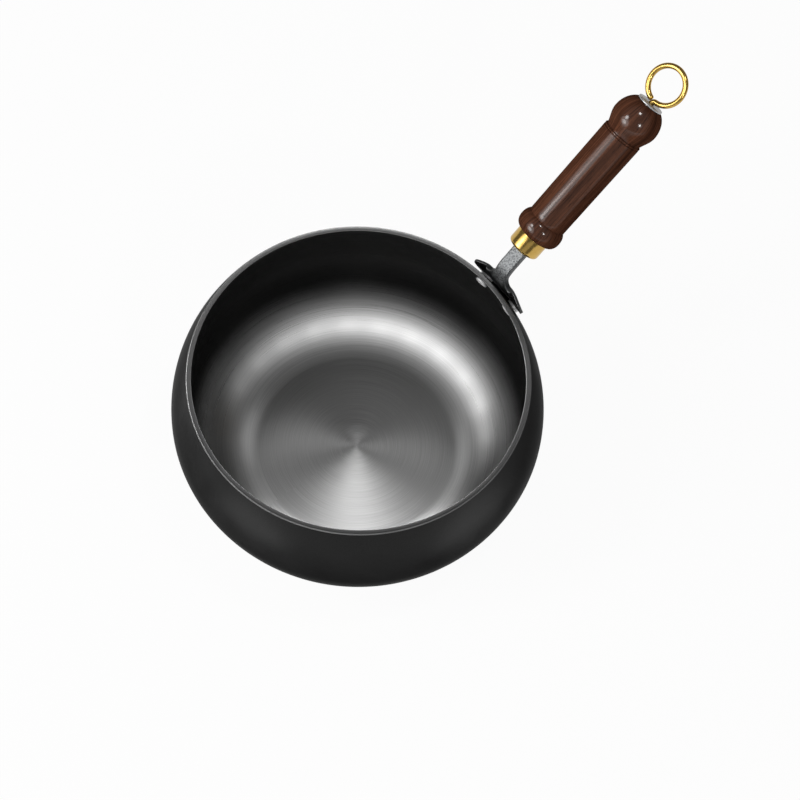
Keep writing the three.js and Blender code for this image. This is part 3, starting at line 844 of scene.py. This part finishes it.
drawn_brass, tree, shader, place = new_material(
    "drawn_brass", Metallic=1.0, Specular_Tint=(0.5, 0.33, 0.1, 1)
)
skin = use_group(tree, metal_skin, **{"Vector": place, "Grain Scale": 1500.0, "Patch Scale": 220.0})
wire_gloss = remap(tree, skin["Patches"], 0.3, 0.7, 0.17, 0.23)
feed(tree, shader, Base_Color=brass_colour(tree, place), Roughness=wire_gloss)
print("finishes", turned_brass.name, "and", drawn_brass.name)

# %% [markdown]
# ## The ferrule
# A brass cup on the front of the grip stops the wood from splitting round the tang. A plain cylinder
# would be sharp at both ends. Here the front edge is well rounded and the back edge, which meets the
# wood, is only just broken. Like all handle pieces, it is turned about its own Z axis and then placed on
# the handle's axis.

# %% Ferrule
ferrule_radius = 12.1
ferrule_length = 12.9
ferrule_wall = 1.0
ferrule_front = 1.6
ferrule_rounding = 2.6
ferrule_edge = 0.25
bore_clearance = 0.3
handle_segments = 128
handle_place = Matrix.Translation((handle_start.x * MM, 0, handle_start.y * MM))
handle_place @= Matrix.Rotation(math.pi / 2 - handle_rise, 4, "Y")

tang_bore = tang_radius + bore_clearance
ferrule_inside = ferrule_radius - ferrule_wall
ferrule_profile = [(tang_bore, 0.0)]
ferrule_profile += arc((ferrule_radius - ferrule_rounding, ferrule_rounding), ferrule_rounding, -90, 0, 14)
ferrule_profile += [(ferrule_radius, ferrule_length * share) for share in (0.4, 0.7)]
ferrule_profile += arc((ferrule_radius - ferrule_edge, ferrule_length - ferrule_edge), ferrule_edge, 0, 90, 4)
ferrule_profile += [(ferrule_inside, ferrule_length), (ferrule_inside, ferrule_front)]
ferrule_profile += [(tang_bore, ferrule_front), (tang_bore, 0.0)]
points, faces, _ = turned(ferrule_profile, handle_segments)
ferrule = make_piece("ferrule_cup", points, faces, handle_place)
dress(ferrule, "pot", "brass_ferrule", "polished_brass", turned_brass)

# %% [markdown]
# ## Dark lacquered wood
# The grip is a close-grained dark brown wood, turned along the grain and lacquered: broad soft bands,
# finer streaks, and short dark pores run along the handle. Plain coordinates would draw curls where the
# knob swells through the grain, so the pattern is laid round the turning at one radius. The lacquer is
# the shader's coat, a clear smooth layer over a duller base. It fades where the surface turns away, so
# that the white floor isn't mirrored along the edges.

# %% Wood: coordinates that follow the turning
def stretched(tree, vector, scale):
    """The same coordinates squeezed by a different amount along each axis."""
    return node(tree, "ShaderNodeMapping", {"Vector": vector, "Scale": scale}).outputs[0]


lacquered_wood, tree, shader, place = new_material(
    "lacquered_wood", Coat_Roughness=0.14, Coat_IOR=1.5, Specular_IOR_Level=0.0
)
grain_radius = 0.015
grain_wander = 0.003
from_axis = stretched(tree, place, (1.0, 1.0, 0.0))
around = node(tree, "ShaderNodeVectorMath", {0: from_axis}, operation="NORMALIZE").outputs[0]
around = stretched(tree, around, (grain_radius, grain_radius, 0.0))
along = stretched(tree, place, (0.0, 0.0, 1.0))
grain_place = node(tree, "ShaderNodeVectorMath", {0: around, 1: along}, operation="ADD").outputs[0]
wander = noise(tree, stretched(tree, grain_place, (40.0, 40.0, 9.0)), 1.0, 2.0)
offset = node(tree, "ShaderNodeCombineXYZ", {0: calculate(tree, "MULTIPLY", wander, grain_wander)}).outputs[0]
bent = node(tree, "ShaderNodeVectorMath", {0: grain_place, 1: offset}, operation="ADD").outputs[0]
print("grain laid at a radius of", grain_radius, "m")

# %% Wood: bands, streaks, pores and lacquer
bands = noise(tree, stretched(tree, bent, (260.0, 260.0, 6.0)), 1.0, 3.0, 0.55)
streaks = noise(tree, stretched(tree, bent, (1000.0, 1000.0, 13.0)), 1.0, 3.0, 0.6)
pores = noise(tree, stretched(tree, bent, (2600.0, 2600.0, 110.0)), 1.0, 1.0, 0.4)
band_share = remap(tree, bands, 0.32, 0.68, 0.0, 1.0)
streak_share = remap(tree, streaks, 0.42, 0.64, 0.0, 0.8)
pore_share = remap(tree, pores, 0.6, 0.72, 0.0, 0.75)
wood_tone = mix_colours(tree, band_share, (0.070, 0.0270, 0.0150, 1), (0.145, 0.056, 0.0310, 1))
wood_tone = mix_colours(tree, streak_share, wood_tone, (0.034, 0.0130, 0.0078, 1))
wood_tone = mix_colours(tree, pore_share, wood_tone, (0.012, 0.0055, 0.0036, 1))
wood_gloss = remap(tree, streaks, 0.3, 0.7, 0.38, 0.55)
facing = node(tree, "ShaderNodeLayerWeight", {"Blend": 0.5}).outputs["Facing"]
lacquer = remap(tree, facing, 0.10, 0.22, 1.0, 0.0)
feed(tree, shader, Base_Color=wood_tone, Roughness=wood_gloss, Coat_Weight=lacquer)
feed(tree, shader, Normal=bump(tree, calculate(tree, "SUBTRACT", streaks, pore_share), 0.00003))
print("finish", lacquered_wood.name)

# %% [markdown]
# ## The grip
# From the ferrule back: a tenon inside the brass, a rounded bead, a long barrel that swells slightly, a
# groove and a small ridge at the shoulder, and a tail knob. The profile follows the turner's cuts one
# after the other. A bump could draw the grooves, but as real cuts they catch light and shadow by
# themselves.

# %% Grip: sizes
bead_radius = 17.3
bead_lip = 0.6
bead_length = 14.0
groove_depth = 0.3
groove_width = 0.5
barrel_front = 14.75
barrel_tail = 15.2
barrel_length = 80.9
shoulder_chamfer = 0.4
shoulder_ridge = 1.2
shoulder_groove = 0.8
shoulder_groove_depth = 0.6
knob_neck = 14.1
knob_radius = 17.8
knob_end = 10.2
knob_front_length = 12.4
knob_back_length = 14.8
eye_wire = 1.95
eye_depth = 24.0
bead_start = ferrule_length + seat_gap
barrel_start = bead_start + bead_length
barrel_end = barrel_start + barrel_length
knob_widest = barrel_end + knob_front_length
grip_end = knob_widest + knob_back_length
eye_tip = grip_end - eye_depth
print("grip ends", round(grip_end, 1), "mm behind the ferrule's front")

# %% Grip: curves of the bead
def pulled_curve(start, pull1, pull2, end, steps):
    """Points along a cubic curve from start to end, both included."""
    points = []
    for i in range(steps + 1):
        t = i / steps
        s = 1 - t
        weights = (s ** 3, 3 * s * s * t, 3 * s * t * t, t ** 3)
        corners = (start, pull1, pull2, end)
        points.append(tuple(sum(w * c[k] for w, c in zip(weights, corners)) for k in (0, 1)))
    return points


cut_steps = 24
bead_middle = between(bead_start, barrel_start, 0.48)
bead_foot = ferrule_radius + bead_lip
groove_radius = barrel_front - groove_depth
bead_front = pulled_curve(
    (bead_foot, bead_start),
    (between(bead_foot, bead_radius, 0.6), bead_start),
    (bead_radius, between(bead_middle, bead_start, 0.54)),
    (bead_radius, bead_middle),
    cut_steps,
)
bead_back = pulled_curve(
    (bead_radius, bead_middle),
    (bead_radius, between(bead_middle, barrel_start, 0.58)),
    (between(groove_radius, bead_radius, 0.46), between(bead_middle, barrel_start, 0.86)),
    (groove_radius, barrel_start),
    cut_steps,
)
print("bead widest", round(bead_middle, 1), "mm behind the ferrule's front")

# %% Grip: curves of the knob
knob_flank = pulled_curve(
    (knob_neck, barrel_end + shoulder_chamfer),
    (between(knob_neck, knob_radius, 0.38), between(barrel_end, knob_widest, 0.4)),
    (knob_radius, between(barrel_end, knob_widest, 0.64)),
    (knob_radius, knob_widest),
    cut_steps,
)
knob_tail = pulled_curve(
    (knob_radius, knob_widest),
    (knob_radius, between(knob_widest, grip_end, 0.5)),
    (between(knob_end, knob_radius, 0.5), between(knob_widest, grip_end, 0.86)),
    (knob_end, grip_end),
    cut_steps,
)
print("knob", 2 * knob_radius, "mm across")

# %% Grip: the turner's cuts in order
eye_bore = eye_wire + bore_clearance
tenon_radius = ferrule_radius - ferrule_wall - seat_gap
tenon_start = ferrule_front + seat_gap
tang_end = tang_length + seat_gap
grip_profile = [(0.0, tang_end), (tang_bore, tang_end), (tang_bore, tenon_start)]
grip_profile += [(tenon_radius, tenon_start), (tenon_radius, bead_start)]
grip_profile += bead_front + bead_back[1:]

barrel_steps = 20
ridge_start = barrel_end - shoulder_ridge
groove_start = ridge_start - shoulder_groove
for i in range(barrel_steps + 1):
    along = between(barrel_start + groove_width, groove_start, i / barrel_steps)
    grip_profile.append((between(barrel_front, barrel_tail, i / barrel_steps), along))
for share in (0.4, 0.6):
    grip_profile.append((barrel_tail - shoulder_groove_depth, between(groove_start, ridge_start, share)))
grip_profile.append((barrel_tail - shoulder_chamfer / 2, ridge_start))
for share in (0.4, 0.6):
    grip_profile.append((barrel_tail, between(ridge_start, barrel_end, share)))
grip_profile += [(barrel_tail - shoulder_chamfer, barrel_end), (knob_neck, barrel_end)]
grip_profile += knob_flank + knob_tail[1:]
grip_profile += [(eye_bore, grip_end), (eye_bore, eye_tip - seat_gap), (0.0, eye_tip - seat_gap)]
points, faces, _ = turned(grip_profile, handle_segments)
grip = make_piece("turned_grip", points, faces, handle_place)
dress(grip, "pot", "wooden_grip", "dark_wood", lacquered_wood)

# %% [markdown]
# ## The end washer
# A flat steel washer with broken edges keeps the eye from sinking into the wood. A plain disc would
# nearly do, but the rounded corner gives the thin line of light that shows it is steel.

# %% End washer
washer_radius = 10.0
washer_thickness = 1.2
washer_clearance = 0.6
washer_chamfer = 0.25
washer_start = grip_end + seat_gap
washer_end = washer_start + washer_thickness
washer_hole = eye_wire + washer_clearance
washer_flat = washer_radius - washer_chamfer
washer_profile = [(washer_hole, washer_start), (washer_flat, washer_start)]
washer_profile += arc((washer_flat, washer_start + washer_chamfer), washer_chamfer, -90, 0, 4)
washer_profile += arc((washer_flat, washer_end - washer_chamfer), washer_chamfer, 0, 90, 4)
washer_profile += [(between(washer_hole, washer_radius, share), washer_end) for share in (0.7, 0.4)]
washer_profile += [(washer_hole, washer_end), (washer_hole, washer_start)]
points, faces, _ = turned(washer_profile, handle_segments)
washer = make_piece("tail_washer", points, faces, handle_place)
dress(washer, "pot", "end_washer", "rivet_steel", tumbled_steel)

# %% [markdown]
# ## The screw eye
# A brass wire with a straight shank screwed into the tail, bent into a round loop for hanging. It can be
# turned by hand, so it rides on its own body. A curve with a bevel would be quicker, but would leave the
# free end flat, so the wire is a ring of points swept along its path, with the end rounded off. The
# points are moved into the part's own axes, so that the box round the tilted loop is true to size.

# %% Screw eye: the path of the wire
eye_loop = 13.6
eye_lift = 0.5
eye_bend = math.radians(9.5)
eye_gap = math.radians(8.5)
shank_steps, elbow_steps, loop_steps = 20, 12, 120
eye_centre = washer_end + eye_lift + eye_wire + eye_loop
elbow = Vector((0, 0, eye_centre - eye_loop / math.cos(eye_bend)))
shank_end = Vector((0, 0, elbow.z - eye_loop * math.tan(eye_bend)))


def loop_point(angle):
    """A point of the loop, by its angle from the lowest place."""
    return Vector((0, -eye_loop * math.sin(angle), eye_centre - eye_loop * math.cos(angle)))


path = [Vector((0, 0, between(eye_tip, shank_end.z, i / shank_steps))) for i in range(shank_steps)]
for i in range(elbow_steps):
    t = i / elbow_steps
    path.append((1 - t) ** 2 * shank_end + 2 * t * (1 - t) * elbow + t * t * loop_point(eye_bend))
for i in range(loop_steps + 1):
    path.append(loop_point(between(eye_bend, 2 * math.pi - eye_gap, i / loop_steps)))
print("wire follows", len(path), "points")

# %% Screw eye: the wire
wire_sides = 32
end_length = 0.6
end_rounding = 0.35
eye_rings = []
side = Vector((1, 0, 0))
for i, centre in enumerate(path):
    ahead = (path[min(i + 1, len(path) - 1)] - path[max(i - 1, 0)]).normalized()
    lift = ahead.cross(side)
    from_end = (path[-1] - centre).length if i > len(path) // 2 else eye_wire
    # The free end gets thinner over its last bit, which rounds it off
    into_end = max(0.0, 1 - from_end / end_length)
    size = eye_wire * math.sqrt(1 - into_end ** 2 * end_rounding)
    ring = []
    for k in range(wire_sides):
        angle = 2 * math.pi * k / wire_sides
        ring.append(centre + size * (math.cos(angle) * side + math.sin(angle) * lift))
    eye_rings.append(ring)
points, faces = skin_faces(eye_rings)
eye = make_piece("hanging_eye", points, faces)
eye.data.transform(handle_place)
dress(eye, "eye", "screw_eye", "polished_brass", drawn_brass)

# %% [markdown]
# ## The studio floor
# The floor is plain white and reaches far out, so that low views show only white behind the pot. Camera,
# mirror and glass rays see it as white, and a share of real diffuse white under that keeps the pot's soft
# shadow. More lamps on a grey floor could make it white too, but they would light the pot as well.

# %% Floor: mesh
floor_half = 40.0
floor_mesh = bpy.data.meshes.new("studio_floor")
work = bmesh.new()
bmesh.ops.create_grid(work, x_segments=8, y_segments=8, size=floor_half)
work.to_mesh(floor_mesh)
work.free()
floor = bpy.data.objects.new("studio_floor", floor_mesh)
bpy.context.collection.objects.link(floor)
print("floor", 2 * floor_half, "m square")

# %% Floor: white to look at, with a share of paper that takes the shadow
white_part = 0.95
floor_white = bpy.data.materials.new("floor_white")
floor_white.use_nodes = True
tree = floor_white.node_tree
tree.nodes.clear()
rays = node(tree, "ShaderNodeLightPath").outputs
seen = calculate(tree, "ADD", rays["Is Camera Ray"], rays["Is Glossy Ray"])
seen = calculate(tree, "MINIMUM", calculate(tree, "ADD", seen, rays["Is Transmission Ray"]), 1.0)
white_share = calculate(tree, "MULTIPLY", seen, white_part)
paper = node(tree, "ShaderNodeBsdfDiffuse", {"Color": (0.85, 0.85, 0.85, 1)}).outputs[0]
glow = node(tree, "ShaderNodeEmission", {"Color": (1, 1, 1, 1), "Strength": 1.0}).outputs[0]
both = node(tree, "ShaderNodeMixShader", {0: white_share, 1: paper, 2: glow}).outputs[0]
node(tree, "ShaderNodeOutputMaterial", {"Surface": both})
floor_mesh.materials.append(floor_white)
print("finish", floor_white.name)

# %% [markdown]
# ## The room and its lamps
# The room is dim, so that the metals have something dark to reflect, and the light comes from softboxes.
# In a studio, flags and grids keep each lamp to its own place. Light linking does that here: every lamp
# shines only on the pieces of its group, so the black iron, the wood and the brass are each lit in their
# own way. One light for all would either drown the wood or leave the iron a black hole.

# %% Room
world = bpy.data.worlds.new("studio_room")
bpy.context.scene.world = world
world.use_nodes = True
world.node_tree.nodes["Background"].inputs["Color"].default_value = (0.18, 0.18, 0.18, 1)
print("room", world.name)

# %% Helpers: a softbox, and the pieces that it may light
aim = Vector((0.03, 0.0, 0.09))
away_from_camera = Vector((camera_forward.x, camera_forward.y, 0)).normalized()


def softbox(name, lit, right, away, up, width, height, radiance, distance=2.2):
    """An oval lamp for a group of pieces, in the camera's directions. Radiance is how bright it looks."""
    lamp = bpy.data.lights.new(name, "AREA")
    lamp.shape = "ELLIPSE"
    lamp.size = width
    lamp.size_y = height
    lamp.energy = radiance * math.pi * width * height * math.pi / 4
    holder = bpy.data.objects.new(name, lamp)
    towards = (right * camera_right + away * away_from_camera + up * Vector((0, 0, 1))).normalized()
    across = (camera_right - towards * camera_right.dot(towards)).normalized()
    facing = Matrix((across, towards.cross(across), towards)).transposed().to_4x4()
    holder.matrix_world = Matrix.Translation(aim + towards * distance) @ facing
    bpy.context.collection.objects.link(holder)
    holder.visible_camera = False
    holder.light_linking.receiver_collection = lit
    print("lamp", name, "of", round(lamp.energy, 1), "W")


def lit_group(name, pieces):
    """A named set of pieces that a lamp may be kept to, as a flag or a grid does in a studio."""
    group = bpy.data.collections.new(name)
    for piece in pieces:
        group.objects.link(piece)
    return group


print("lamps aim at", [round(value, 3) for value in aim])

# %% [markdown]
# ## The bright band inside the pot
# The band is a mirror image. The curve above the pot's floor is a bent mirror that faces the middle, so
# each place on it shows another part of the room. One big dome of light would fill it evenly, and a
# single lamp would leave a spot. This cell works backwards instead: for each place on the curve it finds
# the direction that the camera sees there and puts a softbox in it, brightest to the right of the far
# side.

# %% Lamps: the arc that the curve mirrors
iron_lit = lit_group("lit_by_iron_lamps", [pot])
arc_lamps = 13
arc_size = 0.8
arc_tilt = math.radians(31.0)
arc_brightest = math.radians(25)
arc_spread = 0.82
arc_dim, arc_bright = 0.35, 5.0
to_camera = Vector((0, -math.sqrt(1 - camera_forward.z ** 2), -camera_forward.z))
for i in range(arc_lamps):
    side = math.radians(between(-90, 90, i / (arc_lamps - 1)))
    inward = Vector((-math.sin(side), -math.cos(side), 0))
    normal = math.sin(arc_tilt) * inward + Vector((0, 0, math.cos(arc_tilt)))
    seen_in = 2 * normal.dot(to_camera) * normal - to_camera
    radiance = between(arc_dim, arc_bright, math.cos(arc_spread * (side - arc_brightest)) ** 2)
    softbox("arc_softbox_%02d" % i, iron_lit, *seen_in, arc_size, arc_size, radiance)

# %% [markdown]
# ## Rays on the pot's floor, and the outside
# The fine rings stretch every lamp's image into a ray across the pot's floor. The rays could be painted
# into the finish, but paint would not move with the view. Two lamps stand low behind the far wall, which
# hides them from the far half, so that their bright ray runs only towards the viewer. Two weak ones give
# the rays to the sides. Outside, a long low lamp draws the left flank, and two small lamps beside the
# foot do what white cards do in a studio: they give the soft sheen on the belly.

# %% Lamps: the pot's floor
softbox("side_left", iron_lit, -0.31, 0.44, 0.84, 0.5, 0.5, 2.4)
softbox("side_right", iron_lit, 0.31, 0.44, 0.84, 0.5, 0.5, 2.4)
softbox("far_low", iron_lit, -0.06, 0.79, 0.61, 0.6, 0.5, 40.0)
softbox("far_wide", iron_lit, -0.07, 0.72, 0.69, 1.3, 0.4, 11.0, 2.3)

# %% Lamps: the outside of the pot
softbox("left_low", iron_lit, -0.93, 0.25, 0.09, 2.0, 0.3, 45.0)
softbox("card_left", iron_lit, -0.171, -0.206, -0.075, 0.14, 0.10, 2.5, 0.28)
softbox("card_right", iron_lit, 0.158, -0.162, -0.075, 0.14, 0.10, 2.5, 0.24)

# %% [markdown]
# ## Light on the handle and the brass
# A broad panel on the left lights the handle, and a brighter core in it makes the long streak on the
# lacquer. Three small lamps make the bright spots on the knob and the bead. The brass has a weak panel in
# front, because a mirror needs something to show, and the eye has one more from behind the camera.

# %% Lamps: handle and brass
handle_lit = lit_group("lit_by_handle_lamps", [bracket, *rivet_pieces, ferrule, grip, washer, eye, floor])
softbox("handle_panel", handle_lit, -0.83, -0.36, 0.43, 2.0, 2.0, 1.8)
softbox("handle_core", handle_lit, -0.83, -0.36, 0.43, 0.9, 0.9, 6.0, 2.1)
softbox("patch_lamp", handle_lit, -0.64, -0.14, 0.75, 0.5, 0.5, 12.0)
softbox("top_spot", handle_lit, 0.245, 0.03, 0.97, 0.27, 0.27, 34.0)
softbox("front_spot", handle_lit, 0.317, -0.72, 0.615, 0.27, 0.27, 34.0)

brass_lit = lit_group("lit_by_brass_lamps", [ferrule, eye])
softbox("brass_front", brass_lit, -0.15, -0.90, 0.40, 1.6, 0.9, 0.35)
eye_lit = lit_group("lit_by_eye_panel", [eye])
softbox("eye_panel", eye_lit, 0.0, -0.44, 0.90, 1.0, 1.0, 6.0)

# %% [markdown]
# ## Last step
# The view transform is the plain one, so that a colour renders about as it is written.

# %% Finish
bpy.context.scene.view_settings.view_transform = "Standard"
